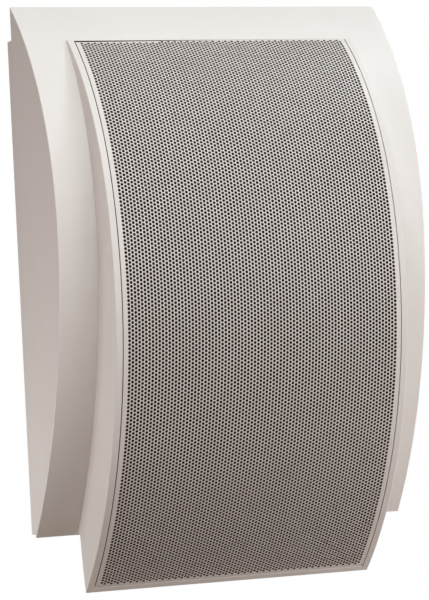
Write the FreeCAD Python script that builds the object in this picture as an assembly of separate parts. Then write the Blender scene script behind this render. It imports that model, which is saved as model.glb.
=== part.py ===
import FreeCAD, Part
import math
import os
from FreeCAD import Vector as V

# On-wall two-way loudspeaker. Millimetres, +Z up, X across, the front faces -Y.
# The origin lies on the wall plane (Y = 0), at the centre of the four wall-screw holes.

os.makedirs("parts", exist_ok=True)

# ---- wall frame: bowed front panel with plain drafted sides
FRAME_REAR_Y = -7.0          # rear plane of the front moulding
FRAME_APEX_Y = -62.85        # most forward line of the bowed panel
FRAME_APEX_Z = 16.65
FRAME_R_UP = 160.0           # bow radius above the apex
FRAME_R_LOW = 242.6          # bow radius below the apex
FRAME_HALF_W = 103.3         # half width at the rear plane
FRAME_DRAFT = 0.035          # side draft, mm per mm of depth
FRAME_WALL = 3.0

# ---- grille surround: two tangent arcs, narrower and further forward than the frame
BOW1_Y, BOW1_Z, BOW1_R = 70.178, 1.546, 152.678      # upper arc
BOW2_R = 208.467                                     # lower arc
JOIN_DEG = 14.256                                    # where the arcs run into each other
BOW2_Y = BOW1_Y + (BOW2_R - BOW1_R) * math.cos(math.radians(JOIN_DEG))
BOW2_Z = BOW1_Z - (BOW2_R - BOW1_R) * math.sin(math.radians(JOIN_DEG))
SURROUND_HALF_W = 79.9       # at the front edges
SURROUND_FLARE = 0.035       # the side walls lean out towards the frame, mm per mm of depth
SURROUND_INNER_HALF_W = 76.9
SURROUND_SKIN = 3.6          # front skin, recess included
EDGE_R = 0.45                # radius on the moulding's outer edges
BROW_DEG = 49.72             # top edge, angle on the upper arc
BROW_END = (-21.0, 118.3)    # from there a narrow ledge runs back into the frame (Y, Z)
TIP_DEG = 48.60              # lower tip, angle on the lower arc
UNDER_TOP = (-11.0, -138.0)  # under face of the hanging lip, three points (Y, Z)
UNDER_MID = (-11.8, -152.8)
RECESS_DEPTH = 0.9
RECESS_HALF_W = 76.4
RECESS_TOP_DEG = 49.50
RECESS_LOW_DEG = 47.31       # lower end of the recess floor; from there a 45 degree bevel runs out to the lip
BEVEL_DEG = math.degrees(1.0 / BOW2_R)               # what one millimetre of depth takes along the lower arc

# ---- grille sheet and cloth
GRILLE_T = 0.5
GRILLE_HALF_W = 75.9
GRILLE_TOP_DEG = 49.34
GRILLE_LOW_DEG = 47.05
CLOTH_FRONT, CLOTH_T = 0.55, 0.3
CLOTH_HALF_W = 76.2
CLOTH_TOP_DEG, CLOTH_LOW_DEG = 49.44, 46.98

# ---- wall plate
PLATE_TOP_Z, PLATE_LOW_Z = 120.7, -136.7
PLATE_T = 3.0
RIM_W = 3.0
WALL_HOLE_DX, WALL_HOLE_DZ, WALL_HOLE_R = 160.0, 190.0, 2.6
ENTRY_Z = -118.0             # cable entry
ENTRY_R = 4.0
POSTS = [(-62.0, 100.0), (62.0, 100.0), (-62.0, -124.0), (62.0, -124.0)]
POST_FACE_Y = -32.0
HEAD_SEAT_Y = -38.0

# ---- baffle
BAFFLE_Y0, BAFFLE_Y1 = -52.0, -46.0
BAFFLE_HALF_W, BAFFLE_TOP, BAFFLE_LOW = 76.4, 84.0, -115.5
BAFFLE_SCREWS = [(sx * 69.9, z) for sx in (-1, 1) for z in (-106.0, 24.0, 75.0)]

# ---- woofer and tweeter centres (X = 0)
WOOFER_Z = -45.0
TWEETER_Z = 50.0
WOOFER_EARS = [(67.0 * math.cos(math.radians(a)), WOOFER_Z + 67.0 * math.sin(math.radians(a)))
               for a in (45, 135, 225, 315)]
TWEETER_HOLES = [(22.6 * math.cos(math.radians(a)), TWEETER_Z + 22.6 * math.sin(math.radians(a)))
                 for a in (90, 210, 330)]

# ---- crossover board
BOARD = (-46.0, 46.0, -11.6, -10.0, 30.0, 84.0)
BOARD_SCREWS = [(sx * 41.0, z) for sx in (-1, 1) for z in (35.0, 79.0)]


def box(x0, x1, y0, y1, z0, z1):
    return Part.makeBox(x1 - x0, y1 - y0, z1 - z0, V(x0, y0, z0))


def cyl(x, z, r, y0, y1):
    return Part.makeCylinder(r, y1 - y0, V(x, y0, z), V(0, 1, 0))


def revolve(edges, z=0.0, x=0.0):
    """Closed outline of edges drawn in (radius, Y), turned about the Y direction through (x, z)."""
    face = Part.Face(Part.Wire(edges))
    solid = face.revolve(V(0, 0, 0), V(0, 1, 0), 360)
    solid.translate(V(x, 0, z))
    return solid


def poly(points):
    pts = [V(r, y, 0) for r, y in points]
    return Part.makePolygon(pts + [pts[0]]).Edges


def turned(points, z=0.0, x=0.0):
    return revolve(poly(points), z, x)


def line(p, q):
    return Part.LineSegment(V(*p, 0), V(*q, 0)).toShape()


def bow(p, m, q):
    return Part.Arc(V(*p, 0), V(*m, 0), V(*q, 0)).toShape()


def prism(edges, half_w):
    """Outline in the YZ plane at X = 0, extruded both ways along X."""
    face = Part.Face(Part.Wire(Part.__sortEdges__(edges)))
    face.translate(V(-half_w, 0, 0))
    return face.extrude(V(2 * half_w, 0, 0))


def yz_line(p, q):
    return Part.LineSegment(V(0, *p), V(0, *q)).toShape()


def yz_arc(p, m, q):
    return Part.Arc(V(0, *p), V(0, *m), V(0, *q)).toShape()


def on_frame(z, inset=0.0):
    r = (FRAME_R_UP if z > FRAME_APEX_Z else FRAME_R_LOW)
    c = FRAME_APEX_Y + r
    return (c - math.sqrt((r - inset) ** 2 - (z - FRAME_APEX_Z) ** 2), z)


def frame_z(y, inset, upper):
    r = FRAME_R_UP if upper else FRAME_R_LOW
    dz = math.sqrt((r - inset) ** 2 - (FRAME_APEX_Y + r - y) ** 2)
    return FRAME_APEX_Z + (dz if upper else -dz)


def frame_body(inset, rear_y, half_w):
    zt, zb = frame_z(rear_y, inset, True), frame_z(rear_y, inset, False)
    top, low, apex = (rear_y, zt), (rear_y, zb), (FRAME_APEX_Y + inset, FRAME_APEX_Z)
    profile = prism([
        yz_arc(top, on_frame((zt + FRAME_APEX_Z) / 2, inset), apex),
        yz_arc(apex, on_frame((zb + FRAME_APEX_Z) / 2, inset), low),
        yz_line(low, top),
    ], 120.0)
    front = rear_y - 80.0
    w0 = half_w + FRAME_DRAFT * (rear_y - FRAME_REAR_Y)
    w1 = half_w + FRAME_DRAFT * (front - FRAME_REAR_Y)
    plan = Part.Face(Part.makePolygon([V(-w0, rear_y, -200), V(w0, rear_y, -200), V(w1, front, -200),
                                       V(-w1, front, -200), V(-w0, rear_y, -200)]))
    return profile.common(plan.extrude(V(0, 0, 400)))


def on_bow1(deg, inset=0.0):
    a = math.radians(deg)
    return (BOW1_Y - (BOW1_R - inset) * math.cos(a), BOW1_Z + (BOW1_R - inset) * math.sin(a))


def on_bow2(deg, inset=0.0):
    a = math.radians(deg)
    return (BOW2_Y - (BOW2_R - inset) * math.cos(a), BOW2_Z - (BOW2_R - inset) * math.sin(a))


def bow_edges(inset, top_deg, low_deg):
    """The surround's front line at one depth, from the top angle down to the low angle."""
    if top_deg <= JOIN_DEG:
        raise ValueError("top angle lies below the joint of the arcs")
    return [
        yz_arc(on_bow1(top_deg, inset), on_bow1((top_deg + JOIN_DEG) / 2, inset), on_bow1(JOIN_DEG, inset)),
        yz_arc(on_bow2(-JOIN_DEG, inset), on_bow2((low_deg - JOIN_DEG) / 2, inset), on_bow2(low_deg, inset)),
    ]


def band(outer, inner, top_deg, low_deg, half_w):
    """A curved slab between two depths under the surround's front line, with square-cut ends."""
    return prism(bow_edges(outer, top_deg, low_deg)
                 + [yz_line(on_bow2(low_deg, outer), on_bow2(low_deg, inner))]
                 + bow_edges(inner, top_deg, low_deg)
                 + [yz_line(on_bow1(top_deg, inner), on_bow1(top_deg, outer))], half_w)


def fuse(first, others):
    return first.multiFuse(others).removeSplitter()


def save(name, shape):
    solids = shape.Solids
    out = solids[0] if len(solids) == 1 else Part.makeCompound(solids)
    out.exportStep("parts/" + name + ".step")


parts = {}

# ---------------------------------------------------------------- front housing, one moulding
tip, brow = on_bow2(TIP_DEG), on_bow1(BROW_DEG)


def flared(cy, cz, r, from_deg, to_deg):
    """A sector round one arc's centre, as wide as the surround, with its sides leaning out inwards."""
    def at(x, radius):
        return V(x, cy - radius, cz)
    over, deep = 5.0, 60.0
    w0, w1 = SURROUND_HALF_W - SURROUND_FLARE * over, SURROUND_HALF_W + SURROUND_FLARE * deep
    face = Part.Face(Part.makePolygon([at(-w0, r + over), at(w0, r + over), at(w1, r - deep), at(-w1, r - deep),
                                       at(-w0, r + over)]))
    face.rotate(V(0, cy, cz), V(1, 0, 0), from_deg)
    return face.revolve(V(0, cy, cz), V(1, 0, 0), to_deg - from_deg)


outline = prism(
    bow_edges(0.0, BROW_DEG, TIP_DEG)
    + [yz_arc(tip, UNDER_MID, UNDER_TOP),
       yz_line(UNDER_TOP, (FRAME_REAR_Y, -136.5)),
       yz_line((FRAME_REAR_Y, -136.5), (FRAME_REAR_Y, BROW_END[1])),
       yz_line((FRAME_REAR_Y, BROW_END[1]), BROW_END),
       yz_line(BROW_END, on_bow1(BROW_DEG))],
    90.0)
surround = fuse(outline.common(flared(BOW1_Y, BOW1_Z, BOW1_R, -62.0, -JOIN_DEG)),
                [outline.common(flared(BOW2_Y, BOW2_Z, BOW2_R, -JOIN_DEG, 52.0))])
outer = fuse(frame_body(0.0, FRAME_REAR_Y, FRAME_HALF_W), [surround])


def crisp(edge):
    """The outer corners that carry the moulding's small edge radius."""
    m = edge.valueAt((edge.FirstParameter + edge.LastParameter) / 2)
    on_front = min(abs(math.hypot(m.y - BOW1_Y, m.z - BOW1_Z) - BOW1_R),
                   abs(math.hypot(m.y - BOW2_Y, m.z - BOW2_Z) - BOW2_R)) < 0.01
    on_side = SURROUND_HALF_W - 0.01 < abs(m.x) < SURROUND_HALF_W + 1.5
    return ((abs(m.x) > FRAME_HALF_W - 2.5 and m.y < FRAME_REAR_Y - 1.0)
            or (on_side and (on_front or m.z < -140.0)) or abs(m.z - tip[1]) < 0.1
            or (abs(m.z - brow[1]) < 0.1 and abs(m.y - brow[0]) < 0.1))


outer = outer.makeFillet(EDGE_R, [e for e in outer.Edges if crisp(e)])

hollow_low = 44.55
hollow_top = 53.5
end = on_bow2(hollow_low, SURROUND_SKIN)
surround_in = prism(
    bow_edges(SURROUND_SKIN, hollow_top, hollow_low)
    + [yz_line(end, (-15.1, end[1])),
       yz_line((-15.1, end[1]), (-12.9, -138.0)),
       yz_line((-12.9, -138.0), (-12.9, -132.0)),
       yz_line((-12.9, -132.0), (-5.0, -130.0)),
       yz_line((-5.0, -130.0), (-5.0, on_bow1(hollow_top, SURROUND_SKIN)[1])),
       yz_line((-5.0, on_bow1(hollow_top, SURROUND_SKIN)[1]), on_bow1(hollow_top, SURROUND_SKIN))],
    SURROUND_INNER_HALF_W)
hollow = frame_body(FRAME_WALL, -5.0, FRAME_HALF_W - FRAME_WALL).fuse(surround_in)
housing = outer.cut(hollow)

tunnel = box(-76.9, 76.9, -95, BAFFLE_Y0, BAFFLE_LOW, BAFFLE_TOP).cut(
    box(-73.9, 73.9, -100, 0, BAFFLE_LOW + 3, BAFFLE_TOP - 3))
web = box(-101.5, 101.5, -48, FRAME_REAR_Y, PLATE_TOP_Z - RIM_W, PLATE_TOP_Z)
bosses = [cyl(x, z, 4.5, -95, BAFFLE_Y0) for x, z in BAFFLE_SCREWS]
bosses += [cyl(x, z, 7.0, -80, POST_FACE_Y) for x, z in POSTS]
inside = [s.common(outer) for s in [tunnel, web] + bosses]
housing = fuse(housing, inside)

bevel_out = RECESS_LOW_DEG + BEVEL_DEG * (RECESS_DEPTH + 1.0)
recess = prism(bow_edges(-1.0, RECESS_TOP_DEG, bevel_out)
               + [yz_line(on_bow2(bevel_out, -1.0), on_bow2(RECESS_LOW_DEG, RECESS_DEPTH))]
               + bow_edges(RECESS_DEPTH, RECESS_TOP_DEG, RECESS_LOW_DEG)
               + [yz_line(on_bow1(RECESS_TOP_DEG, RECESS_DEPTH), on_bow1(RECESS_TOP_DEG, -1.0))], RECESS_HALF_W)
cuts = [recess,
        band(0.5, SURROUND_SKIN + 1.2, 30.5, 29.0, 65.0)]
cuts += [cyl(x, z, 1.55, -59.3, -40) for x, z in BAFFLE_SCREWS]
cuts += [cyl(x, z, 4.7, -90, HEAD_SEAT_Y) for x, z in POSTS]
cuts += [cyl(x, z, 2.2, -60, -30) for x, z in POSTS]
for c in cuts:
    housing = housing.cut(c)
parts["front_housing"] = housing

# ---------------------------------------------------------------- wall plate, rim seal, grommet
plate = box(-FRAME_HALF_W, FRAME_HALF_W, FRAME_REAR_Y, 0, PLATE_LOW_Z, PLATE_TOP_Z)
plate = plate.cut(box(-FRAME_HALF_W + RIM_W, FRAME_HALF_W - RIM_W, -20, -PLATE_T,
                      PLATE_LOW_Z + RIM_W, PLATE_TOP_Z - RIM_W))
SEAL_W, SEAL_T = 1.7, 1.0
seal = box(-FRAME_HALF_W + RIM_W - SEAL_W, FRAME_HALF_W - RIM_W + SEAL_W, FRAME_REAR_Y, FRAME_REAR_Y + SEAL_T,
           PLATE_LOW_Z + RIM_W - SEAL_W, PLATE_TOP_Z - RIM_W + SEAL_W)
seal_void = box(-FRAME_HALF_W + RIM_W, FRAME_HALF_W - RIM_W, -20, 0, PLATE_LOW_Z + RIM_W, PLATE_TOP_Z - RIM_W)
plate = plate.cut(seal)
parts["rim_seal"] = seal.cut(seal_void)
plate = fuse(plate, [cyl(x, z, 5.0, POST_FACE_Y, -PLATE_T) for x, z in POSTS]
             + [cyl(x, z, 3.5, BOARD[3], -PLATE_T) for x, z in BOARD_SCREWS])
for x, z in POSTS:
    plate = plate.cut(cyl(x, z, 1.95, -40, -16))
for x, z in BOARD_SCREWS:
    plate = plate.cut(cyl(x, z, 1.25, -20, -4.5))
for sx in (-1, 1):
    for sz in (-1, 1):
        plate = plate.cut(cyl(sx * WALL_HOLE_DX / 2, sz * WALL_HOLE_DZ / 2, WALL_HOLE_R, -10, 5))
plate = plate.cut(cyl(0, ENTRY_Z, 8.05, -10, 5)).cut(cyl(0, ENTRY_Z, 11.0, -1.2, 5))
parts["wall_plate"] = plate
parts["cable_grommet"] = turned([(ENTRY_R, -4.8), (9.6, -4.8), (10.4, -4.2), (10.4, -3.0), (8.0, -3.0), (8.0, -1.2),
                                 (10.6, -1.2), (10.6, -0.1), (ENTRY_R, -0.1)], ENTRY_Z)

# ---------------------------------------------------------------- baffle, grille, cloth
baffle = box(-BAFFLE_HALF_W, BAFFLE_HALF_W, BAFFLE_Y0, BAFFLE_Y1, BAFFLE_LOW, BAFFLE_TOP)
baffle = baffle.cut(cyl(0, WOOFER_Z, 57.8, -60, -40)).cut(cyl(0, TWEETER_Z, 20.0, -60, -40))
for x, z in BAFFLE_SCREWS:
    baffle = baffle.cut(cyl(x, z, 1.7, -60, -40))
for x, z in WOOFER_EARS:
    baffle = baffle.cut(cyl(x, z, 1.75, -60, -40))
for x, z in TWEETER_HOLES:
    baffle = baffle.cut(cyl(x, z, 1.45, -60, -40))
parts["baffle"] = baffle
parts["grille"] = band(0.0, GRILLE_T, GRILLE_TOP_DEG, GRILLE_LOW_DEG, GRILLE_HALF_W)
parts["grille_cloth"] = band(CLOTH_FRONT, CLOTH_FRONT + CLOTH_T, CLOTH_TOP_DEG, CLOTH_LOW_DEG, CLOTH_HALF_W)

# ---------------------------------------------------------------- woofer
basket = turned([(63.5, -53.5), (63.5, -52.0), (57.0, -52.0), (57.0, -41.6), (34.2, -29.2), (34.2, -28.6),
                 (30.2, -28.6), (30.2, -25.0), (20.0, -25.0), (20.0, -26.2), (29.0, -26.2), (29.0, -29.8),
                 (33.0, -29.8), (55.8, -42.2), (55.8, -53.5)], WOOFER_Z)
ears = [cyl(x, z, 6.5, -53.5, -52.0).cut(cyl(0, WOOFER_Z, 56.4, -60, -40)) for x, z in WOOFER_EARS]
tab = box(-9, 9, -29.8, -28.6, WOOFER_Z + 33.0, WOOFER_Z + 46.0)
basket = fuse(basket, ears + [tab])
for x, z in WOOFER_EARS:
    basket = basket.cut(cyl(x, z, 2.1, -60, -40))
for k in range(4):
    # windows between the four arms of the basket
    a0, a1 = math.radians(90 * k + 45 - 34), math.radians(90 * k + 45 + 34)
    ring = [V(36.5 * math.cos(a0), 0, 36.5 * math.sin(a0)), V(54.0 * math.cos(a0), 0, 54.0 * math.sin(a0)),
            V(54.0 * math.cos((a0 + a1) / 2), 0, 54.0 * math.sin((a0 + a1) / 2)),
            V(54.0 * math.cos(a1), 0, 54.0 * math.sin(a1)), V(36.5 * math.cos(a1), 0, 36.5 * math.sin(a1)),
            V(36.5 * math.cos((a0 + a1) / 2), 0, 36.5 * math.sin((a0 + a1) / 2))]
    face = Part.Face(Part.Wire([Part.LineSegment(ring[0], ring[1]).toShape(), Part.Arc(ring[1], ring[2], ring[3]).toShape(),
                                Part.LineSegment(ring[3], ring[4]).toShape(), Part.Arc(ring[4], ring[5], ring[0]).toShape()]))
    face.translate(V(0, -46, WOOFER_Z))
    basket = basket.cut(face.extrude(V(0, 16.2, 0)))
parts["woofer_basket"] = basket
parts["woofer_gasket"] = turned([(58.0, -57.3), (62.5, -57.3), (63.0, -56.8), (63.0, -53.5), (61.1, -53.5),
                                 (61.1, -54.3), (58.0, -54.3)], WOOFER_Z)
parts["woofer_surround"] = revolve([
    line((61.0, -54.3), (61.0, -53.5)), line((61.0, -53.5), (57.2, -53.5)),
    bow((57.2, -53.5), (53.0, -52.2), (51.6, -48.0)), line((51.6, -48.0), (50.4, -47.8)),
    line((50.4, -47.8), (50.4, -48.6)), line((50.4, -48.6), (50.9, -48.7)),
    bow((50.9, -48.7), (52.5, -52.9), (57.0, -54.3)), line((57.0, -54.3), (61.0, -54.3))], WOOFER_Z)
parts["woofer_cone"] = turned([(50.0, -48.6), (50.0, -47.8), (48.4, -47.8), (12.9, -28.9), (12.9, -29.8), (48.2, -48.6)],
                              WOOFER_Z)
cap_r, cap_h, cap_t = 17.0, 6.5, 0.6
cap_rad = (cap_r ** 2 + cap_h ** 2) / (2 * cap_h)
cap_c = -32.45 - cap_h + cap_rad
half = math.asin(cap_r / cap_rad)


def on_cap(r, a):
    return (r * math.sin(a), cap_c - r * math.cos(a))


parts["woofer_dust_cap"] = revolve([
    bow(on_cap(cap_rad, half), on_cap(cap_rad, half / 2), on_cap(cap_rad, 0)),
    line(on_cap(cap_rad, 0), on_cap(cap_rad - cap_t, 0)),
    bow(on_cap(cap_rad - cap_t, 0), on_cap(cap_rad - cap_t, half / 2), on_cap(cap_rad - cap_t, half)),
    line(on_cap(cap_rad - cap_t, half), on_cap(cap_rad, half))], WOOFER_Z)
parts["voice_coil_former"] = turned([(12.5, -30.5), (12.9, -30.5), (12.9, -18.0), (12.5, -18.0)], WOOFER_Z)
parts["voice_coil"] = turned([(12.9, -27.0), (13.4, -27.0), (13.4, -19.0), (12.9, -19.0)], WOOFER_Z)
front, back = [], []
for k in range(7):
    # pressed corrugations between the former and the basket ledge
    r = 13.9 + k * 2.45
    y = -28.3 - 1.5 * k / 6 + (0.55 if k % 2 else -0.15)
    front.append((r, y - 0.25))
    back.append((r, y + 0.25))
parts["woofer_spider"] = turned([(13.2, -28.55), *front, (29.3, -30.3), (32.6, -30.3), (32.6, -29.85), (29.2, -29.85),
                                 *reversed(back), (13.2, -28.05)], WOOFER_Z)
parts["woofer_top_plate"] = turned([(14.0, -25.0), (34.0, -25.0), (34.0, -21.0), (14.0, -21.0)], WOOFER_Z)
parts["woofer_magnet"] = turned([(18.0, -21.0), (35.4, -21.0), (36.0, -20.4), (36.0, -12.6), (35.4, -12.0), (18.0, -12.0)],
                                WOOFER_Z)
parts["woofer_yoke"] = turned([(4.0, -25.4), (11.6, -25.4), (12.0, -25.0), (12.0, -12.0), (35.0, -12.0), (35.0, -9.0),
                               (34.0, -8.0), (4.0, -8.0)], WOOFER_Z)
strip = box(-8, 8, -28.6, -27.1, WOOFER_Z + 35.0, WOOFER_Z + 45.0)
parts["woofer_tag_strip"] = strip
parts["woofer_tags"] = Part.makeCompound([
    box(s * 5 - 2, s * 5 + 2, -27.1, -26.3, WOOFER_Z + 35.5, WOOFER_Z + 44.5) for s in (-1, 1)])

# ---------------------------------------------------------------- tweeter
face = revolve([line((11.0, -52.0), (26.0, -52.0)), line((26.0, -52.0), (26.0, -54.4)), line((26.0, -54.4), (25.4, -55.0)),
                line((25.4, -55.0), (18.5, -55.0)), bow((18.5, -55.0), (13.9, -54.0), (11.0, -52.0))], TWEETER_Z)
for x, z in TWEETER_HOLES:
    face = face.cut(cyl(x, z, 1.7, -60, -50))
parts["tweeter_faceplate"] = face
dome_r, dome_h, dome_t = 9.9, 3.4, 0.3
dome_rad = (dome_r ** 2 + dome_h ** 2) / (2 * dome_h)
dome_c = -52.0 - dome_h + dome_rad
dome_half = math.asin(dome_r / dome_rad)


def on_dome(r, a):
    return (r * math.sin(a), dome_c - r * math.cos(a))


inner_half = math.acos((dome_c + 51.6) / (dome_rad - dome_t))
parts["tweeter_dome"] = revolve([
    bow(on_dome(dome_rad, 0), on_dome(dome_rad, dome_half / 2), on_dome(dome_rad, dome_half)),
    line(on_dome(dome_rad, dome_half), (15.5, -52.0)), line((15.5, -52.0), (15.5, -51.6)),
    line((15.5, -51.6), on_dome(dome_rad - dome_t, inner_half)),
    bow(on_dome(dome_rad - dome_t, inner_half), on_dome(dome_rad - dome_t, inner_half / 2), on_dome(dome_rad - dome_t, 0)),
    line(on_dome(dome_rad - dome_t, 0), on_dome(dome_rad, 0))], TWEETER_Z)
parts["tweeter_coil"] = turned([(9.2, -51.6), (9.9, -51.6), (9.9, -48.4), (9.2, -48.4)], TWEETER_Z)
parts["tweeter_top_ring"] = turned([(10.4, -51.6), (16.0, -51.6), (16.0, -48.0), (10.4, -48.0)], TWEETER_Z)
parts["tweeter_cup"] = turned([(16.0, -51.6), (19.0, -51.6), (19.0, -37.0), (18.0, -36.0), (0.0, -36.0), (0.0, -39.5),
                               (16.0, -39.5)], TWEETER_Z)
parts["tweeter_magnet"] = turned([(0, -48.0), (8.6, -48.0), (8.6, -39.5), (0, -39.5)], TWEETER_Z)
parts["tweeter_pole"] = turned([(0, -51.2), (8.3, -51.2), (8.7, -50.8), (8.7, -48.0), (0, -48.0)], TWEETER_Z)

# ---------------------------------------------------------------- crossover, terminal, leads, damping
board = box(*BOARD)
for x, z in BOARD_SCREWS:
    board = board.cut(cyl(x, z, 1.5, -20, 0))
parts["crossover_board"] = board
parts["crossover_coil"] = turned([(5.0, -23.0), (15.0, -23.0), (15.0, -21.8), (13.6, -21.8), (13.6, -12.8), (15.0, -12.8),
                                  (15.0, -11.6), (5.0, -11.6)], 57.0, -22.0)
cap = Part.makeCylinder(6.5, 26.0, V(8.0, -18.1, 45.0), V(0, 0, 1))
parts["crossover_capacitor"] = cap.makeFillet(0.8, [e for e in cap.Edges if e.Closed and len(e.Vertexes) == 1])
res = box(22.0, 31.0, -20.6, -11.6, 45.0, 67.0)
parts["crossover_resistor"] = res.makeChamfer(0.6, [e for e in res.Edges if abs(e.tangentAt(e.FirstParameter).z) > 0.9])

block = box(30.0, 56.0, -16.0, -3.0, -125.0, -111.0)
for x in (36.5, 49.5):
    block = block.cut(cyl(x, -118.0, 2.9, -20, -10.0))
    block = block.cut(Part.makeCylinder(1.9, 9.0, V(x, -6.8, -125.5), V(0, 0, 1)))
parts["terminal_block"] = block
heads = []
for x in (36.5, 49.5):
    h = cyl(x, -118.0, 2.7, -13.6, -10.0).cut(box(x - 3, x + 3, -14, -12.6, -118.4, -117.6))
    heads.append(h)
parts["terminal_screws"] = Part.makeCompound(heads)


def lead(points, radius, bend):
    """A round lead along straight runs joined by tangent bends."""
    pts = [V(*p) for p in points]
    edges, start = [], pts[0]
    for a, b, c in zip(pts, pts[1:], pts[2:]):
        u, w = (a - b).normalize(), (c - b).normalize()
        p, q = b + u * bend, b + w * bend
        mid = b + (u + w) * (bend * (1 - math.sqrt(0.5)))
        edges += [Part.LineSegment(start, p).toShape(), Part.Arc(p, mid, q).toShape()]
        start = q
    edges.append(Part.LineSegment(start, pts[-1]).toShape())
    path = Part.Wire(edges)
    ring = Part.Wire(Part.makeCircle(radius, pts[0], pts[1] - pts[0]))
    return path.makePipeShell([ring], True, False)


parts["input_lead"] = lead([(43.0, -10.8, -111.0), (43.0, -10.8, 30.0)], 1.5, 1.0)
parts["woofer_lead"] = lead([(5.0, -10.8, 30.0), (5.0, -10.8, -5.6), (5.0, -26.3, -5.6)], 1.5, 7.0)
parts["tweeter_lead"] = lead([(-3.0, -11.6, 35.0), (-3.0, -23.8, 35.0), (-3.0, -23.8, 47.0), (-3.0, -36.0, 47.0)], 1.5, 5.5)
parts["damping_pads"] = Part.makeCompound([
    box(50.0, 94.0, -19.0, -3.0, -78.0, 8.0), box(-94.0, -50.0, -19.0, -3.0, -78.0, 8.0)])


# ---------------------------------------------------------------- screws
def screw(x, z, head_r, head_y0, seat_y, shank_r, tip_y, to_rear):
    """Pan-head screw along Y with a cross recess; the head lies in front of or behind its seat."""
    head = cyl(x, z, head_r, min(head_y0, seat_y), max(head_y0, seat_y))
    shank = cyl(x, z, shank_r, min(seat_y, tip_y), max(seat_y, tip_y))
    body = head.fuse(shank).removeSplitter()
    d = abs(head_y0 - seat_y) * 0.5
    y0, y1 = (head_y0, head_y0 + d) if head_y0 < seat_y else (head_y0 - d, head_y0)
    for w, h in ((head_r * 0.62, head_r * 0.13), (head_r * 0.13, head_r * 0.62)):
        body = body.cut(box(x - w, x + w, y0 - (0.5 if head_y0 < seat_y else 0), y1 + (0 if head_y0 < seat_y else 0.5),
                            z - h, z + h))
    return body


parts["housing_screws"] = Part.makeCompound([screw(x, z, 3.9, -40.6, HEAD_SEAT_Y, 1.9, -18.0, True) for x, z in POSTS])
parts["baffle_screws"] = Part.makeCompound([screw(x, z, 3.4, -43.8, BAFFLE_Y1, 1.5, -59.0, False) for x, z in BAFFLE_SCREWS])
parts["woofer_screws"] = Part.makeCompound([screw(x, z, 3.6, -55.8, -53.5, 1.7, -44.0, True) for x, z in WOOFER_EARS])
parts["tweeter_screws"] = Part.makeCompound([screw(x, z, 2.7, -56.6, -55.0, 1.4, -44.0, True) for x, z in TWEETER_HOLES])
parts["crossover_screws"] = Part.makeCompound([screw(x, z, 2.8, -13.4, BOARD[2], 1.2, -5.0, True) for x, z in BOARD_SCREWS])

for name, shape in parts.items():
    save(name, shape)
    bb = shape.BoundBox
    print(name, "solids", len(shape.Solids), "valid", shape.isValid(), "volume", round(shape.Volume, 1),
          "box", [round(v, 2) for v in (bb.XMin, bb.YMin, bb.ZMin, bb.XMax, bb.YMax, bb.ZMax)])
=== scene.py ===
import math

import bpy
import numpy as np
from mathutils import Matrix, Vector, noise


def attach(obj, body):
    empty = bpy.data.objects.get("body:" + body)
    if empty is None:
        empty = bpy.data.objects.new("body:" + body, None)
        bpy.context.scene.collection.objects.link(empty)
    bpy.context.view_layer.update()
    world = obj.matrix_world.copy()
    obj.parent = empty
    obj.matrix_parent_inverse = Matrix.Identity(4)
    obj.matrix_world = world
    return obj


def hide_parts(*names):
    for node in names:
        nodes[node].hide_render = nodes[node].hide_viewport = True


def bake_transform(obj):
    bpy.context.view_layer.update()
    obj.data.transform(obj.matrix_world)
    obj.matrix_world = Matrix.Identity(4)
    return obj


# On-wall loudspeaker: looks, in metres, in the frame of the CAD model.
# X across, the front faces -Y, +Z up, the wall plane is Y = 0.

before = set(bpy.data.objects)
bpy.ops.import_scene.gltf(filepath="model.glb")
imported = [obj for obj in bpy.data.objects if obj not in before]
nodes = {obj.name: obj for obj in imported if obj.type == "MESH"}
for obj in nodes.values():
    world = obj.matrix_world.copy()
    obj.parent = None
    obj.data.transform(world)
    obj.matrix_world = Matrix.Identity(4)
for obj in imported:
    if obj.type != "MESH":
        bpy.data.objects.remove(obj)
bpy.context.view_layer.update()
MM = 0.001

# ---- the grille's front line, as in the CAD source (millimetres)
BOW1_Y, BOW1_Z, BOW1_R = 70.178, 1.546, 152.678
BOW2_R = 208.467
JOIN = math.radians(14.256)
BOW2_Y = BOW1_Y + (BOW2_R - BOW1_R) * math.cos(JOIN)
BOW2_Z = BOW1_Z - (BOW2_R - BOW1_R) * math.sin(JOIN)
S_JOIN = -61.69              # arc length where the two arcs meet, 0 near the middle row of holes
GRILLE_T = 0.5
GRILLE_HALF_W = 75.9
EDGE_X, EDGE_S = (-75.9, -40.0, 0.0, 75.9), (-154.30, -154.68, -155.20, -155.52)   # upper sheet edge, a little askew
S_LOW = 161.36
S_RECESS = -155.62           # upper end of the recess

# ---- perforation: staggered columns
PITCH_X = 1.7746
HOLE_R = 0.825
FACETS = 10
COLUMNS = 41                 # columns run from -COLUMNS to +COLUMNS
ROW_FIRST, ROW_LAST = -154, 160

CLOTH_FRONT, CLOTH_BACK = 0.57, 0.83
CLOTH_HALF_W = 76.1
CLOTH_S = (-155.30, S_JOIN + BOW2_R * math.radians(46.95 + 14.256))

WOOFER_Z = -45.0


def bowed(x, s, inset):
    """Points in metres at width x and arc length s, at a depth under the front line. Arrays in millimetres."""
    x, s, inset = np.broadcast_arrays(np.asarray(x, float), np.asarray(s, float), np.asarray(inset, float))
    up = s < S_JOIN
    a = np.where(up, JOIN + (S_JOIN - s) / BOW1_R, -JOIN + (s - S_JOIN) / BOW2_R)
    y = np.where(up, BOW1_Y - (BOW1_R - inset) * np.cos(a), BOW2_Y - (BOW2_R - inset) * np.cos(a))
    z = np.where(up, BOW1_Z + (BOW1_R - inset) * np.sin(a), BOW2_Z - (BOW2_R - inset) * np.sin(a))
    return np.stack([x, y, z], -1) * MM


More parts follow.
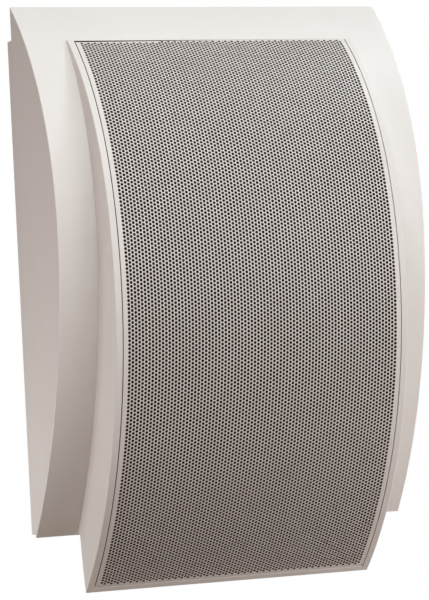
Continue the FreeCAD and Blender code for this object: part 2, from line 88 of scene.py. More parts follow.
# ---------------------------------------------------------------- materials
def shader(name):
    m = bpy.data.materials.new("finish_" + name)
    m.use_nodes = True
    t = m.node_tree
    t.nodes.clear()
    out = t.nodes.new("ShaderNodeOutputMaterial")
    b = t.nodes.new("ShaderNodeBsdfPrincipled")
    t.links.new(b.outputs["BSDF"], out.inputs["Surface"])
    place = t.nodes.new("ShaderNodeTexCoord").outputs["Object"]
    return m, t, b, place


def stretched(t, vector, scale, turn=(0, 0, 0)):
    n = t.nodes.new("ShaderNodeMapping")
    n.inputs["Scale"].default_value = scale
    n.inputs["Rotation"].default_value = turn
    t.links.new(vector, n.inputs["Vector"])
    return n.outputs["Vector"]


def clouds(t, vector, scale, detail=3.0, rough=0.55):
    n = t.nodes.new("ShaderNodeTexNoise")
    n.inputs["Scale"].default_value = scale
    n.inputs["Detail"].default_value = detail
    n.inputs["Roughness"].default_value = rough
    t.links.new(vector, n.inputs["Vector"])
    return n.outputs["Fac"]


def cells(t, vector, scale, feature="F1"):
    n = t.nodes.new("ShaderNodeTexVoronoi")
    n.feature = feature
    n.inputs["Scale"].default_value = scale
    t.links.new(vector, n.inputs["Vector"])
    return n


def bands(t, vector, scale, axis, profile="SIN"):
    n = t.nodes.new("ShaderNodeTexWave")
    n.wave_type = "BANDS"
    n.bands_direction = axis
    n.wave_profile = profile
    n.inputs["Scale"].default_value = scale
    n.inputs["Distortion"].default_value = 0.0
    t.links.new(vector, n.inputs["Vector"])
    return n.outputs["Fac"]


def ramp(t, fac, stops):
    n = t.nodes.new("ShaderNodeValToRGB")
    e = n.color_ramp.elements
    while len(e) < len(stops):
        e.new(0.5)
    for k, (at, colour) in enumerate(stops):
        e[k].position = at
        e[k].color = (*colour, 1.0)
    t.links.new(fac, n.inputs["Fac"])
    return n.outputs["Color"]


def span(t, fac, low, high, from_low=0.3, from_high=0.7):
    n = t.nodes.new("ShaderNodeMapRange")
    for key, v in (("From Min", from_low), ("From Max", from_high), ("To Min", low), ("To Max", high)):
        n.inputs[key].default_value = v
    t.links.new(fac, n.inputs["Value"])
    return n.outputs["Result"]


def sums(t, kind, a, b):
    n = t.nodes.new("ShaderNodeMath")
    n.operation = kind
    for k, v in enumerate((a, b)):
        if isinstance(v, (int, float)):
            n.inputs[k].default_value = v
        else:
            t.links.new(v, n.inputs[k])
    return n.outputs[0]


def tinted(t, fac, colour_a, colour_b, kind="MIX"):
    n = t.nodes.new("ShaderNodeMix")
    n.data_type = "RGBA"
    n.blend_type = kind
    t.links.new(fac, n.inputs["Factor"])
    for key, v in (("A", colour_a), ("B", colour_b)):
        socket = next(i for i in n.inputs if i.name == key and i.type == "RGBA")
        if isinstance(v, tuple):
            socket.default_value = (*v, 1.0)
        else:
            t.links.new(v, socket)
    return next(o for o in n.outputs if o.type == "RGBA")


def relief(t, b, height, strength, depth_mm):
    n = t.nodes.new("ShaderNodeBump")
    n.inputs["Strength"].default_value = strength
    n.inputs["Distance"].default_value = depth_mm * MM
    t.links.new(height, n.inputs["Height"])
    t.links.new(n.outputs["Normal"], b.inputs["Normal"])


def moulded(name, light, dark, rough=(0.40, 0.52), grain=1700, depth=0.012, specks=None):
    """Moulded plastic: a hint of uneven tone, spark-eroded grain, and a few grains of dust where asked."""
    m, t, b, p = shader(name)
    fine = clouds(t, p, grain, 2.0, 0.6)
    colour = ramp(t, clouds(t, p, 16, 4.0, 0.6), [(0.30, dark), (0.70, light)])
    if specks:
        v = cells(t, p, 46)
        pick = t.nodes.new("ShaderNodeSeparateColor")
        t.links.new(v.outputs["Color"], pick.inputs["Color"])
        near = sums(t, "LESS_THAN", v.outputs["Distance"], 0.020)
        some = sums(t, "GREATER_THAN", pick.outputs["Red"], 0.62)
        colour = tinted(t, sums(t, "MULTIPLY", near, some), colour, specks)
    t.links.new(colour, b.inputs["Base Color"])
    t.links.new(span(t, clouds(t, p, 60, 3.0), *rough), b.inputs["Roughness"])
    relief(t, b, fine, 0.35, depth)
    return m


def painted_metal(name, light, dark, rough=(0.36, 0.48), depth=0.01, hole_shade=None):
    """Stove enamel on sheet metal: faint orange peel and very slight mottling. Where hole_shade is given, painted shade
    darkens the paint down the hole walls and on the back.
    """
    m, t, b, p = shader(name)
    colour = ramp(t, clouds(t, p, 34, 4.0, 0.6), [(0.30, dark), (0.70, light)])
    # painted shade: the colour shades towards hole_shade with depth down the hole walls, darkest on the back
    if hole_shade:
        down = t.nodes.new("ShaderNodeAttribute")
        down.attribute_name = "depth"
        colour = tinted(t, span(t, down.outputs["Fac"], 0.0, 1.0, 0.04, 0.55), colour, hole_shade)
    t.links.new(colour, b.inputs["Base Color"])
    t.links.new(span(t, clouds(t, p, 240, 2.0), *rough), b.inputs["Roughness"])
    relief(t, b, clouds(t, p, 900, 1.0, 0.4), 0.3, depth)
    return m


def plated(name, light, dark, rough=(0.22, 0.42), brushed=None):
    """Bare or plated metal with blotches, and a brushed direction where given."""
    m, t, b, p = shader(name)
    b.inputs["Metallic"].default_value = 1.0
    blotch = clouds(t, p, 120, 5.0, 0.65)
    scratch = clouds(t, stretched(t, p, brushed or (1, 1, 1)), 700, 3.0, 0.6)
    t.links.new(ramp(t, blotch, [(0.28, dark), (0.72, light)]), b.inputs["Base Color"])
    t.links.new(span(t, scratch, *rough), b.inputs["Roughness"])
    relief(t, b, scratch, 0.25, 0.01)
    return m


def rubbery(name, light, dark, rough=(0.55, 0.72)):
    m, t, b, p = shader(name)
    t.links.new(ramp(t, clouds(t, p, 90, 4.0), [(0.30, dark), (0.72, light)]), b.inputs["Base Color"])
    t.links.new(span(t, clouds(t, p, 400, 2.0), *rough), b.inputs["Roughness"])
    relief(t, b, clouds(t, p, 1400, 2.0), 0.3, 0.02)
    return m


def fibrous(name, light, dark, scale=900, pull=(1.0, 0.25, 1.0), rough=(0.78, 0.95), depth=0.05):
    """Pulp, card or fibreboard: drawn-out fibres over a cloudy tone."""
    m, t, b, p = shader(name)
    hair = clouds(t, stretched(t, p, pull), scale, 5.0, 0.7)
    soft = clouds(t, p, 70, 4.0)
    t.links.new(ramp(t, sums(t, "ADD", sums(t, "MULTIPLY", hair, 0.65), sums(t, "MULTIPLY", soft, 0.35)),
                     [(0.32, dark), (0.68, light)]), b.inputs["Base Color"])
    t.links.new(span(t, hair, *rough), b.inputs["Roughness"])
    relief(t, b, hair, 0.5, depth)
    return m


def woven(name, light, dark, pitch_mm=0.55, rough=(0.8, 0.95), uv=None, depth=0.12, sheen=0.0):
    """Plain weave: two crossing sets of threads, along a laid-out map or the part's own axes."""
    m, t, b, p = shader(name)
    if uv:
        n = t.nodes.new("ShaderNodeUVMap")
        n.uv_map = uv
        p2, across, along, scale = n.outputs["UV"], "X", "Y", 1000.0 * MM * math.pi / pitch_mm / 10.0
    else:
        p2, across, along, scale = p, "X", "Z", 1000.0 * math.pi / pitch_mm / 10.0
    warp = bands(t, p2, scale, across)
    weft = bands(t, p2, scale, along)
    over = sums(t, "MAXIMUM", warp, weft)
    under = sums(t, "MULTIPLY", warp, weft)
    height = sums(t, "SUBTRACT", over, sums(t, "MULTIPLY", under, 0.35))
    slub = clouds(t, p, 420, 3.0)
    t.links.new(ramp(t, sums(t, "MULTIPLY", height, span(t, slub, 0.75, 1.1)), [(0.15, dark), (0.95, light)]),
                b.inputs["Base Color"])
    t.links.new(span(t, slub, *rough), b.inputs["Roughness"])
    b.inputs["Sheen Weight"].default_value = sheen
    relief(t, b, height, 0.6, depth)
    return m


def wound(name, light, dark, wire_mm=0.35):
    """Enamelled copper wire laid turn by turn along Y."""
    m, t, b, p = shader(name)
    b.inputs["Metallic"].default_value = 1.0
    b.inputs["Coat Weight"].default_value = 0.5
    turns = bands(t, p, 1000.0 * math.pi / wire_mm / 10.0, "Y")
    uneven = clouds(t, p, 300, 3.0)
    t.links.new(ramp(t, sums(t, "MULTIPLY", turns, span(t, uneven, 0.8, 1.1)), [(0.05, dark), (0.85, light)]),
                b.inputs["Base Color"])
    t.links.new(span(t, uneven, 0.22, 0.40), b.inputs["Roughness"])
    relief(t, b, turns, 0.7, wire_mm * 0.4)
    return m


def pitted(name, light, dark, scale=900, rough=(0.7, 0.92), depth=0.08):
    """Foam, cement and other porous stuff: small pits over a cloudy tone."""
    m, t, b, p = shader(name)
    v = cells(t, p, scale)
    soft = clouds(t, p, 150, 4.0)
    t.links.new(ramp(t, sums(t, "MULTIPLY", v.outputs["Distance"], span(t, soft, 0.7, 1.2)),
                     [(0.05, dark), (0.60, light)]), b.inputs["Base Color"])
    t.links.new(span(t, soft, *rough), b.inputs["Roughness"])
    relief(t, b, v.outputs["Distance"], 0.6, depth)
    return m


def board(name):
    """Glass-fibre board under green solder resist, with faint conductor lines."""
    m, t, b, p = shader(name)
    glass = sums(t, "MAXIMUM", bands(t, p, 75, "X"), bands(t, p, 75, "Z"))
    lines = t.nodes.new("ShaderNodeTexBrick")
    lines.inputs["Scale"].default_value = 95
    lines.inputs["Mortar Size"].default_value = 0.06
    lines.inputs["Color1"].default_value = (0.012, 0.085, 0.034, 1)
    lines.inputs["Color2"].default_value = (0.016, 0.105, 0.042, 1)
    lines.inputs["Mortar"].default_value = (0.030, 0.16, 0.060, 1)
    t.links.new(stretched(t, p, (1, 1, 1), (math.radians(90), 0, 0)), lines.inputs["Vector"])
    t.links.new(tinted(t, span(t, glass, 0.0, 0.22, 0.0, 1.0), lines.outputs["Color"], (0.02, 0.13, 0.05)),
                b.inputs["Base Color"])
    t.links.new(span(t, clouds(t, p, 200), 0.28, 0.42), b.inputs["Roughness"])
    relief(t, b, glass, 0.2, 0.02)
    return m


WHITE, WHITE_LOW = (0.800, 0.780, 0.752), (0.772, 0.751, 0.722)
FINISH = {
    "housing_plastic": moulded("housing_plastic", WHITE, WHITE_LOW, specks=(0.42, 0.38, 0.34)),
    "plate_plastic": moulded("plate_plastic", (0.790, 0.770, 0.742), (0.760, 0.738, 0.708), rough=(0.46, 0.60), depth=0.02),
    "seal_foam": pitted("seal_foam", (0.060, 0.058, 0.056), (0.012, 0.012, 0.012), 1300),
    "grommet_rubber": rubbery("grommet_rubber", (0.040, 0.039, 0.038), (0.018, 0.018, 0.018)),
    # the grille paint carries painted shade down its hole walls (hole_shade)
    "grille_paint": painted_metal("grille_paint", (0.785, 0.752, 0.723), (0.765, 0.731, 0.702), hole_shade=(0.120, 0.075, 0.062)),
    "cloth": woven("cloth", (0.030, 0.0165, 0.0135), (0.0135, 0.0066, 0.0052), 0.5, uv="weave"),
    "board_wood": fibrous("board_wood", (0.36, 0.25, 0.15), (0.20, 0.13, 0.075), 1300, (1, 1, 0.3)),
    "basket_steel": painted_metal("basket_steel", (0.030, 0.030, 0.031), (0.016, 0.016, 0.017), (0.35, 0.5)),
    "gasket_card": fibrous("gasket_card", (0.060, 0.057, 0.053), (0.022, 0.021, 0.020)),
    "surround_rubber": rubbery("surround_rubber", (0.026, 0.026, 0.027), (0.012, 0.012, 0.012), (0.42, 0.58)),
    "cone_paper": fibrous("cone_paper", (0.055, 0.052, 0.049), (0.016, 0.015, 0.015), 700, (1, 0.4, 1)),
    "cap_paper": fibrous("cap_paper", (0.045, 0.043, 0.041), (0.014, 0.013, 0.013), 900, (1, 0.5, 0.5), (0.55, 0.75)),
    "former_film": painted_metal("former_film", (0.46, 0.20, 0.030), (0.34, 0.13, 0.018), (0.16, 0.28)),
    "copper": wound("copper", (0.83, 0.36, 0.17), (0.25, 0.075, 0.03)),
    "spider_cloth": woven("spider_cloth", (0.55, 0.36, 0.13), (0.22, 0.13, 0.04), 0.6),
    "zinc_steel": plated("zinc_steel", (0.62, 0.62, 0.60), (0.44, 0.45, 0.45)),
    "ferrite": fibrous("ferrite", (0.050, 0.050, 0.052), (0.020, 0.020, 0.021), 1500, (1, 1, 1), (0.55, 0.75), 0.03),
    "phenolic": fibrous("phenolic", (0.20, 0.095, 0.040), (0.095, 0.042, 0.018), 1100, (0.2, 1, 1), (0.4, 0.6), 0.02),
    "tag_metal": plated("tag_metal", (0.78, 0.76, 0.70), (0.58, 0.55, 0.48), (0.18, 0.34), (0.15, 1, 1)),
    "face_plastic": moulded("face_plastic", (0.032, 0.032, 0.033), (0.022, 0.022, 0.023), (0.42, 0.58)),
    "dome_silk": woven("dome_silk", (0.060, 0.053, 0.046), (0.020, 0.017, 0.015), 0.28, (0.45, 0.6), sheen=0.3),
    "neodymium": plated("neodymium", (0.66, 0.64, 0.60), (0.50, 0.48, 0.45), (0.12, 0.22)),
    "circuit_board": board("circuit_board"),
    "film_capacitor": painted_metal("film_capacitor", (0.50, 0.33, 0.04), (0.40, 0.25, 0.03), (0.22, 0.34)),
    "cement": pitted("cement", (0.70, 0.67, 0.61), (0.40, 0.38, 0.34), 1600),
    "terminal_plastic": moulded("terminal_plastic", (0.045, 0.046, 0.048), (0.030, 0.031, 0.033), (0.38, 0.5)),
    "lead_pvc": rubbery("lead_pvc", (0.34, 0.33, 0.31), (0.25, 0.24, 0.23), (0.38, 0.52)),
    "wadding": fibrous("wadding", (0.82, 0.81, 0.78), (0.55, 0.54, 0.51), 1100, (0.35, 1, 0.35), (0.9, 1.0), 0.4),
    "screw_steel": plated("screw_steel", (0.60, 0.59, 0.56), (0.40, 0.39, 0.37), (0.25, 0.42)),
    "black_screw": painted_metal("black_screw", (0.034, 0.034, 0.035), (0.018, 0.018, 0.019), (0.30, 0.45)),
}

for node, o in nodes.items():
    for held in o.material_slots:
        held.material = FINISH[held.material.name]


# ---------------------------------------------------------------- mesh helpers
def mesh_of(name, points, polygons, kinds=None, smooth=True):
    """A mesh object from points and polygons. Edges between polygons of different kinds stay crisp."""
    me = bpy.data.meshes.new(name)
    sizes = np.array([len(p) for p in polygons])
    me.vertices.add(len(points))
    me.vertices.foreach_set("co", np.asarray(points, np.float32).ravel())
    me.loops.add(int(sizes.sum()))
    me.loops.foreach_set("vertex_index", np.concatenate([np.asarray(p, np.int32) for p in polygons]))
    me.polygons.add(len(sizes))
    me.polygons.foreach_set("loop_start", np.concatenate([[0], np.cumsum(sizes)[:-1]]).astype(np.int32))
    me.update(calc_edges=True)
    me.polygons.foreach_set("use_smooth", np.full(len(sizes), smooth))
    if kinds is not None:
        edge = np.empty(int(sizes.sum()), np.int32)
        me.loops.foreach_get("edge_index", edge)
        of_loop = np.repeat(np.asarray(kinds), sizes)
        low = np.full(len(me.edges), 10 ** 6)
        high = np.full(len(me.edges), -1)
        np.minimum.at(low, edge, of_loop)
        np.maximum.at(high, edge, of_loop)
        crisp = me.attributes.new("sharp_edge", "BOOLEAN", "EDGE")
        crisp.data.foreach_set("value", low != high)
    me.validate()
    o = bpy.data.objects.new(name, me)
    bpy.context.scene.collection.objects.link(o)
    return o


def laid_out(o, name, uv):
    layer = o.data.uv_layers.new(name=name)
    layer.data.foreach_set("uv", np.asarray(uv, np.float32).ravel())


# ---------------------------------------------------------------- perforated grille, in four strips
def cell_template():
    """Triangles that fill one cell round its hole: six points on the cell's outline, then the hole's ring."""
    h = PITCH_X / 2
    outline = [(h, 0.0), (h, 1.0), (-h, 1.0), (-h, 0.0), (-h, -1.0), (h, -1.0)]
    ring = [(HOLE_R * math.cos(2 * math.pi * k / FACETS), HOLE_R * math.sin(2 * math.pi * k / FACETS))
            for k in range(FACETS)]
    at = [math.atan2(y, x) % (2 * math.pi) for x, y in outline]
    rt = [2 * math.pi * k / FACETS for k in range(FACETS)]
    tris, i, j = [], 0, 0
    while i < 6 or j < FACETS:
        next_i = at[i + 1] if i + 1 < 6 else 2 * math.pi
        next_j = rt[j + 1] if j + 1 < FACETS else 2 * math.pi
        if j >= FACETS or (i < 6 and next_i <= next_j):
            tris.append((i % 6, (i + 1) % 6, 6 + j % FACETS))
            i += 1
        else:
            tris.append((i % 6, 6 + (j + 1) % FACETS, 6 + j % FACETS))
            j += 1
    return np.array(ring), np.array(tris)


def top_edge(x):
    return float(np.interp(x, EDGE_X, EDGE_S))


RING, CELL = cell_template()
S_MIN, S_MAX = ROW_FIRST - 1, ROW_LAST + 1
LINE = S_MAX - S_MIN + 1


def strip(name, first, last):
    """One strip of whole columns, front, back and all edges closed."""
    lines = [(a - 0.5) * PITCH_X for a in range(first, last + 2)]
    if first == -COLUMNS:
        lines = [-GRILLE_HALF_W] + lines
    if last == COLUMNS:
        lines = lines + [GRILLE_HALF_W]
    lead = 1 if first == -COLUMNS else 0
    rows = np.arange(S_MIN, S_MAX + 1, dtype=float)
    flat = [np.stack([np.full(LINE, x), rows], -1) for x in lines]
    for line, x in zip(flat, lines):
        line[0, 1] = max(S_MIN, top_edge(x) + 0.05)
    ends = np.array([[x, top_edge(x)] for x in lines] + [[x, S_LOW] for x in lines])
    count = len(lines) * LINE
    top0, low0 = count, count + len(lines)
    ring0 = low0 + len(lines)

    def on(j, s):
        return j * LINE + int(s) - S_MIN

    faces, rings, centres = [], [], []
    for a in range(first, last + 1):
        j = a - first + lead
        begin = ROW_FIRST + ((ROW_FIRST + a) % 2)
        if top_edge(a * PITCH_X) > begin - HOLE_R:
            begin += 2
        for b in range(begin, ROW_LAST + 1, 2):
            base = ring0 + len(centres) * FACETS
            outline = [on(j + 1, b), on(j + 1, b + 1), on(j, b + 1), on(j, b), on(j, b - 1), on(j + 1, b - 1)]
            table = np.array(outline + list(range(base, base + FACETS)))
            faces.append(table[CELL])
            rings.append(np.arange(base, base + FACETS))
            centres.append((a * PITCH_X, b))
        final = b
        upper = [on(j, s) for s in range(S_MIN, begin)] + [on(j + 1, s) for s in range(begin - 1, S_MIN - 1, -1)]
        lower = [on(j + 1, s) for s in range(S_MAX, final, -1)] + [on(j, s) for s in range(final + 1, S_MAX + 1)]
        faces.append([[top0 + j] + upper + [top0 + j + 1]])
        faces.append([[low0 + j + 1] + lower + [low0 + j]])
    margins = ([0] if first == -COLUMNS else []) + ([len(lines) - 2] if last == COLUMNS else [])
    for j in margins:
        faces.append([[top0 + j, on(j, S_MIN), on(j + 1, S_MIN), top0 + j + 1]])
        faces.append([[low0 + j + 1, on(j + 1, S_MAX), on(j, S_MAX), low0 + j]])
        faces.append([[on(j, s), on(j, s + 1), on(j + 1, s + 1), on(j + 1, s)] for s in range(S_MIN, S_MAX)])
    centres = np.array(centres, float)
    flat = np.concatenate(flat + [ends, (centres[:, None, :] + RING[None]).reshape(-1, 2)])
    polygons = [list(map(int, p)) for group in faces for p in group]
    # every outline runs the same way round
    sign = []
    for p in polygons:
        q = flat[p]
        sign.append(np.sum(q[:, 0] * np.roll(q[:, 1], -1) - np.roll(q[:, 0], -1) * q[:, 1]))
    polygons = [p if s < 0 else p[::-1] for p, s in zip(polygons, sign)]
    n = len(flat)
    points = np.concatenate([bowed(flat[:, 0], flat[:, 1], 0.0), bowed(flat[:, 0], flat[:, 1], GRILLE_T)])
    front = polygons
    back = [[v + n for v in reversed(p)] for p in polygons]
    walls, kinds = [], [0] * len(front) + [1] * len(back)
    for r in rings:
        for k in range(FACETS):
            u, v = int(r[k]), int(r[(k + 1) % FACETS])
            walls.append([u, v, v + n, u + n])
            kinds.append(2)
    left = [top0] + [on(0, s) for s in range(S_MIN, S_MAX + 1)] + [low0]
    right = [top0 + len(lines) - 1] + [on(len(lines) - 1, s) for s in range(S_MIN, S_MAX + 1)] + [low0 + len(lines) - 1]
    upper = [top0 + j for j in range(len(lines))]
    lower = [low0 + j for j in range(len(lines))]
    for kind, chain in ((3, left), (4, lower), (5, right[::-1]), (6, upper[::-1])):
        for u, v in zip(chain, chain[1:]):
            walls.append([u, v, v + n, u + n])
            kinds.append(kind)
    o = mesh_of(name, points, front + back + walls, kinds)
    # depth runs from 0 at the front to 1 at the back; the grille paint uses it for painted shade down the holes
    down = o.data.attributes.new("depth", "FLOAT", "POINT")
    down.data.foreach_set("value", np.repeat(np.array([0.0, 1.0], np.float32), n))
    # a map of its own: front at the left, back at the right, hole walls inside the holes
    x0, x1 = lines[0], lines[-1]
    s0, s1 = EDGE_S[-1], S_LOW

    def on_map(q):
        return np.stack([0.012 + 0.470 * (q[:, 0] - x0) / (x1 - x0), 0.012 + 0.976 * (q[:, 1] - s0) / (s1 - s0)], -1)

    base_uv = on_map(flat)
    inner = flat.copy()
    inner[ring0:] = (centres[:, None, :] + 0.5 * RING[None]).reshape(-1, 2)
    inner_uv = on_map(inner)
    me = o.data
    start = np.empty(len(me.polygons), np.int32)
    me.polygons.foreach_get("loop_start", start)
    index = np.empty(len(me.loops), np.int32)
    me.loops.foreach_get("vertex_index", index)
    total = np.diff(np.append(start, len(index)))
    kind = np.repeat(np.asarray(kinds), total)
    uv = base_uv[index % n].copy()
    uv[kind == 1, 0] += 0.506
    deep = (kind == 2) & (index >= n)
    uv[deep] = inner_uv[index[deep] - n]
    for k, u0 in ((3, 0.486), (5, 0.492)):
        at = kind == k
        uv[at, 0] = u0 + np.where(index[at] >= n, 0.004, 0.0)
    for k, v0 in ((6, 0.001), (4, 0.991)):
        at = kind == k
        uv[at, 1] = v0 + np.where(index[at] >= n, 0.006, 0.0)
    laid_out(o, "OFBake", uv)
    o.data.materials.append(FINISH["grille_paint"])
    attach(o, "cabinet")
    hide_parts("grille")
    return o


for k, (first, last) in enumerate(((-41, -21), (-20, 0), (1, 20), (21, 41))):
    strip("grille_strip_%d" % (k + 1), first, last)


# ---------------------------------------------------------------- acoustic cloth behind the grille
def grille_cloth():
    """The cloth follows the recess floor. At the top its hem is turned up against the recess wall, where there is room."""
    nx, ns = 60, 126
    xs = np.linspace(-CLOTH_HALF_W, CLOTH_HALF_W, nx + 1)
    ss = np.concatenate([[CLOTH_S[0]] * 3, np.linspace(CLOTH_S[0] + 0.6, CLOTH_S[1], ns - 2)])
    flat = np.stack(np.meshgrid(xs, ss, indexing="ij"), -1).reshape(-1, 2)
    n = len(flat)
    deep_front = np.full((nx + 1, ns + 1), CLOTH_FRONT)
    deep_back = np.full((nx + 1, ns + 1), CLOTH_BACK)
    s_front = np.tile(ss, (nx + 1, 1))
    s_back = s_front.copy()
    rise = np.interp(xs, [0.0, 30.0], [0.08, 0.50])
    deep_front[:, 0] = deep_back[:, 0] = rise
    deep_front[:, 1] = deep_back[:, 1] = (rise + 0.56) / 2
    s_front[:, :2], s_back[:, :3] = S_RECESS + 0.22, S_RECESS + 0.04
    points = np.concatenate([bowed(flat[:, 0], s_front.ravel(), deep_front.ravel()),
                             bowed(flat[:, 0], s_back.ravel(), deep_back.ravel())])
    flat[:, 1] -= (np.arange(len(flat)) % (ns + 1) == 0) * 0.50 + (np.arange(len(flat)) % (ns + 1) == 1) * 0.25

    def at(i, j):
        return i * (ns + 1) + j

    front = [[at(i, j), at(i, j + 1), at(i + 1, j + 1), at(i + 1, j)] for i in range(nx) for j in range(ns)]
    back = [[v + n for v in reversed(p)] for p in front]
    round_ = ([at(0, j) for j in range(ns + 1)] + [at(i, ns) for i in range(1, nx + 1)]
              + [at(nx, j) for j in range(ns - 1, -1, -1)] + [at(i, 0) for i in range(nx - 1, -1, -1)])
    hem = [[v, u, u + n, v + n] for u, v in zip(round_, round_[1:])]
    o = mesh_of("grille_weave", points, front + back + hem, [0] * len(front) + [1] * len(back) + [2] * len(hem))
    index = np.empty(len(o.data.loops), np.int32)
    o.data.loops.foreach_get("vertex_index", index)
    laid_out(o, "weave", flat[index % n])
    o.data.materials.append(FINISH["cloth"])
    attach(o, "cabinet")
    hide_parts("grille_cloth")


grille_cloth()


# ---------------------------------------------------------------- woofer edge and centring cloth, turned about the driver's axis
def turned(name, profile, steps, slot, node):
    """A closed ring: the outline in (radius, Y) millimetres goes once round the driver's axis."""
    prof = np.array(profile, float)
    k = len(prof)
    ang = np.arange(steps) * 2 * math.pi / steps
    points = np.stack([np.outer(np.cos(ang), prof[:, 0]), np.tile(prof[:, 1], (steps, 1)),
                       WOOFER_Z + np.outer(np.sin(ang), prof[:, 0])], -1).reshape(-1, 3) * MM
    area = np.sum(prof[:, 0] * np.roll(prof[:, 1], -1) - np.roll(prof[:, 0], -1) * prof[:, 1])
    quads = []
    for i in range(steps):
        for j in range(k):
            a, b = i * k + j, i * k + (j + 1) % k
            c, d = ((i + 1) % steps) * k + (j + 1) % k, ((i + 1) % steps) * k + j
            quads.append([a, b, c, d] if area < 0 else [d, c, b, a])
    o = mesh_of(name, points, quads)
    o.data.materials.append(FINISH[slot])
    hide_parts(node)
    return o


def swept(points, thick):
    """A closed outline of even thickness about a line of points in (radius, Y)."""
    p = np.array(points, float)
    d = np.gradient(p, axis=0)
    d /= np.linalg.norm(d, axis=1)[:, None]
    side = np.stack([-d[:, 1], d[:, 0]], -1) * thick / 2
    return np.concatenate([p + side, (p - side)[::-1]])


roll = [(60.9, -53.9), (60.0, -53.9), (59.0, -53.9), (58.0, -53.9)]
roll += [(57.1 - 5.9 * math.sin(a), -53.9 + 5.7 * (1 - math.cos(a))) for a in np.linspace(0.0, math.pi / 2, 15)]
roll += [(50.9, -48.3), (50.6, -48.6), (50.3, -48.85), (49.9, -48.98), (49.4, -48.98), (48.8, -48.98)]  # glued over the cone's rim
edge = turned("woofer_roll", swept(roll, 0.72), 144, "surround_rubber", "woofer_surround")
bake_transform(edge)

ripple = [(13.25, -28.3), (13.6, -28.3)]
for r in np.linspace(13.9, 28.9, 61):
    k = (r - 13.9) / 15.0
    ripple.append((r, -28.35 - 1.7 * k + 0.34 * (1 - math.cos(2 * math.pi * 3 * k)) * (1 - 0.3 * k)))
ripple += [(29.5, -30.08), (30.5, -30.08), (31.5, -30.08), (32.5, -30.08)]
spider = turned("woofer_centring_cloth", swept(ripple, 0.34), 144, "spider_cloth", "woofer_spider")
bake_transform(spider)
# the centring cloth's points, read out as an array
co = np.empty(3 * len(spider.data.vertices), np.float32)
spider.data.vertices.foreach_get("co", co)
co = co.reshape(-1, 3)


# ---------------------------------------------------------------- damping pads: soft wadding, flat where it is glued to the plate
def pad(name, x0, x1, y_front, y_back, z0, z1, seed):
    nx, ny, nz = 26, 10, 46
    size = np.array([x1 - x0, y_back - y_front, z1 - z0])
    grid, points, quads = {}, [], []

    def vert(i, j, k):
        if (i, j, k) not in grid:
            grid[i, j, k] = len(points)
            u = np.array([i / nx, j / ny, k / nz]) * 2 - 1
            # rounded corners, more in front than at the glued back
            soft = 0.16 if u[1] > 0.99 else 0.30
            w = u.copy()
            w[0] = u[0] * (1 - soft * 0.10 * (1 - u[1]) - 0.035 * (1 - u[2] ** 2))
            w[2] = u[2] * (1 - soft * 0.06 * (1 - u[1]) - 0.020 * (1 - u[0] ** 2))
            edge_x, edge_z = 1 - abs(u[0]) ** 6, 1 - abs(u[2]) ** 8
            if u[1] < 0.0:
                w[1] = u[1] * (0.42 + 0.50 * (edge_x * edge_z) ** 0.5)
            p = np.array([x0, y_front, z0]) + (w + 1) / 2 * size
            lump = noise.noise(Vector((p[0] * 0.11 + seed, p[1] * 0.11, p[2] * 0.11)))
            tuft = noise.noise(Vector((p[0] * 0.55, p[1] * 0.55 + seed, p[2] * 0.55)))
            if u[1] < 0.99:
                p[1] += (0.55 * lump + 0.22 * tuft + 0.4) * (1 - u[1]) / 2 * 1.4
            points.append(p)
        return grid[i, j, k]

    def side(cells_a, cells_b, place, flip):
        for a in range(cells_a):
            for b in range(cells_b):
                q = [vert(*place(a, b)), vert(*place(a + 1, b)), vert(*place(a + 1, b + 1)), vert(*place(a, b + 1))]
                quads.append(q[::-1] if flip else q)

    side(nx, nz, lambda a, b: (a, 0, b), False)
    side(nx, nz, lambda a, b: (a, ny, b), True)
    side(ny, nz, lambda a, b: (0, a, b), True)
    side(ny, nz, lambda a, b: (nx, a, b), False)
    side(nx, ny, lambda a, b: (a, b, 0), True)
    side(nx, ny, lambda a, b: (a, b, nz), False)
    o = mesh_of(name, np.array(points) * MM, quads)
    o.data.materials.append(FINISH["wadding"])
    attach(o, "cabinet")
    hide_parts("damping_pads")


pad("damping_pad_right", 50.0, 94.0, -19.0, -3.0, -78.0, 8.0, 3.1)
pad("damping_pad_left", -94.0, -50.0, -19.0, -3.0, -78.0, 8.0, 11.7)


# ---------------------------------------------------------------- floor, light, camera
def floor():
    steps, rings, z = 96, (1.2, 2.8, 4.4, 6.0), -2.0
    points, quads = [(0.0, 0.0, z)], []
    for r in rings:
        points += [(r * math.cos(2 * math.pi * k / steps), r * math.sin(2 * math.pi * k / steps), z) for k in range(steps)]
    quads += [[0, 1 + k, 1 + (k + 1) % steps] for k in range(steps)]
    for i in range(len(rings) - 1):
        a, b = 1 + i * steps, 1 + (i + 1) * steps
        quads += [[a + k, b + k, b + (k + 1) % steps, a + (k + 1) % steps] for k in range(steps)]
    o = mesh_of("studio_floor", points, quads)
    m, t, b, p = shader("studio_floor")
    t.links.new(ramp(t, clouds(t, p, 3.0, 3.0), [(0.3, (0.86, 0.86, 0.85)), (0.7, (0.88, 0.88, 0.87))]), b.inputs["Base Color"])
    b.inputs["Roughness"].default_value = 0.9
    b.inputs["Emission Color"].default_value = (0.87, 0.865, 0.855, 1.0)
    b.inputs["Emission Strength"].default_value = 0.62
    o.data.materials.append(m)
    # lit evenly, without throwing light back up at the object
    o.visible_diffuse = o.visible_glossy = o.visible_shadow = False


floor()


def softbox(name, place, aim, size, watts, colour):
    d = bpy.data.lights.new(name, "AREA")
    d.shape = "RECTANGLE"
    d.size, d.size_y = size
    d.energy = watts
    d.color = colour
    o = bpy.data.objects.new(name, d)
    o.location = place
    o.rotation_euler = (Vector(aim) - Vector(place)).to_track_quat("-Z", "Y").to_euler()
    o.visible_camera = False
    bpy.context.scene.collection.objects.link(o)
    return o


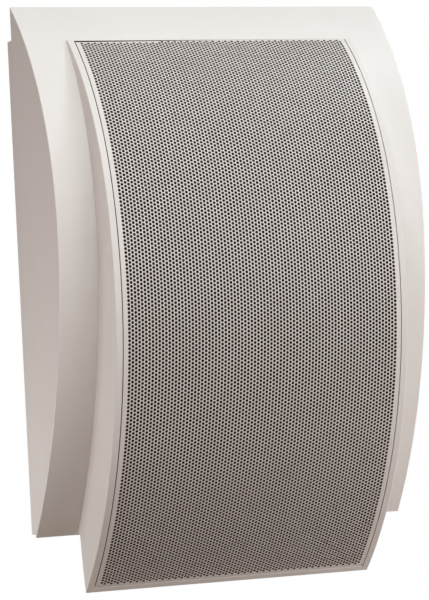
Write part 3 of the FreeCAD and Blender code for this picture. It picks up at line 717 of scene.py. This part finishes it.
def at(azimuth, elevation, distance=1.3):
    """A place round the object: azimuth 0 is straight in front, 90 is to its right as seen from the front."""
    a, e = math.radians(azimuth), math.radians(elevation)
    return (distance * math.sin(a) * math.cos(e), -0.04 - distance * math.cos(a) * math.cos(e), -0.01 + distance * math.sin(e))


MIDDLE = (0.0, -0.04, -0.01)
softbox("key_left", at(-30, 50, 1.2), MIDDLE, (0.25, 0.25), 3.76, (0.955, 0.997, 1.0))
softbox("key_middle", at(0, 45, 1.2), MIDDLE, (0.25, 0.25), 2.87, (0.880, 1.0, 0.978))
softbox("key_between", at(-15, 45, 1.2), MIDDLE, (0.25, 0.25), 1.02, (0.843, 0.851, 1.0))
softbox("front_right", at(30, 10), MIDDLE, (0.8, 0.8), 5.47, (0.986, 0.961, 1.0))
softbox("right_high", at(75, 55, 1.2), MIDDLE, (0.25, 0.25), 2.84, (0.758, 0.893, 1.0))
softbox("right_card", (0.40, -0.06, -0.15), (0.09, -0.05, -0.10), (0.2, 0.2), 0.24, (0.932, 0.968, 1.0))
softbox("right_low", (0.36, -0.16, -0.24), (0.06, -0.06, -0.10), (0.2, 0.2), 0.34, (1.0, 0.955, 0.935))
softbox("overhead", at(0, 85), MIDDLE, (0.8, 0.8), 0.50, (1.0, 0.832, 0.621))
softbox("left_rear", (-1.0, 0.55, 0.0), (0.0, 0.0, 0.0), (1.4, 1.4), 1.85, (0.885, 0.925, 1.0))
softbox("left_low", (-0.30, 0.0, -0.15), (-0.08, -0.06, -0.10), (0.14, 0.14), 0.181, (0.979, 1.0, 0.988))
softbox("left_near", (-0.32, -0.18, 0.0), (-0.10, -0.03, 0.0), (0.14, 0.14), 0.083, (1.0, 0.701, 0.775))
softbox("behind", at(180, 8, 1.3), MIDDLE, (0.25, 0.25), 6.5, (1.0, 0.97, 0.95))
softbox("behind_low", at(180, -55, 1.2), MIDDLE, (0.25, 0.25), 2.5, (1.0, 0.97, 0.95))

world = bpy.data.worlds.new("studio")
bpy.context.scene.world = world
world.use_nodes = True
wt = world.node_tree
wt.nodes.clear()
sky_out = wt.nodes.new("ShaderNodeOutputWorld")
fill = wt.nodes.new("ShaderNodeBackground")
fill.inputs["Color"].default_value = (0.206, 0.158, 0.126, 1.0)
fill.inputs["Strength"].default_value = 1.0
backdrop = wt.nodes.new("ShaderNodeBackground")
backdrop.inputs["Color"].default_value = (1.0, 1.0, 1.0, 1.0)
backdrop.inputs["Strength"].default_value = 1.0
seen = wt.nodes.new("ShaderNodeLightPath")
pick = wt.nodes.new("ShaderNodeMixShader")
wt.links.new(seen.outputs["Is Camera Ray"], pick.inputs["Fac"])
wt.links.new(fill.outputs["Background"], pick.inputs[1])
wt.links.new(backdrop.outputs["Background"], pick.inputs[2])
wt.links.new(pick.outputs["Shader"], sky_out.inputs["Surface"])

view = bpy.context.scene.view_settings
view.view_transform = "Standard"
view.look = "None"
view.exposure = 0.0
view.gamma = 1.0

eye = bpy.data.cameras.new("eye")
eye.sensor_width = 36.0
eye.sensor_fit = "AUTO"
eye.lens = 164.43
eye.clip_start, eye.clip_end = 0.05, 50.0
camera = bpy.data.objects.new("eye", eye)
right, up, ahead = (0.932869, -0.35656, -0.051196), (0.040521, -0.03735, 0.99848), (0.35793, 0.933525, 0.020395)
camera.matrix_world = Matrix((
    (right[0], up[0], -ahead[0], -0.520715),
    (right[1], up[1], -ahead[1], -1.371494),
    (right[2], up[2], -ahead[2], -0.048670),
    (0, 0, 0, 1)))
bpy.context.scene.collection.objects.link(camera)
bpy.context.scene.camera = camera

bpy.context.view_layer.update()
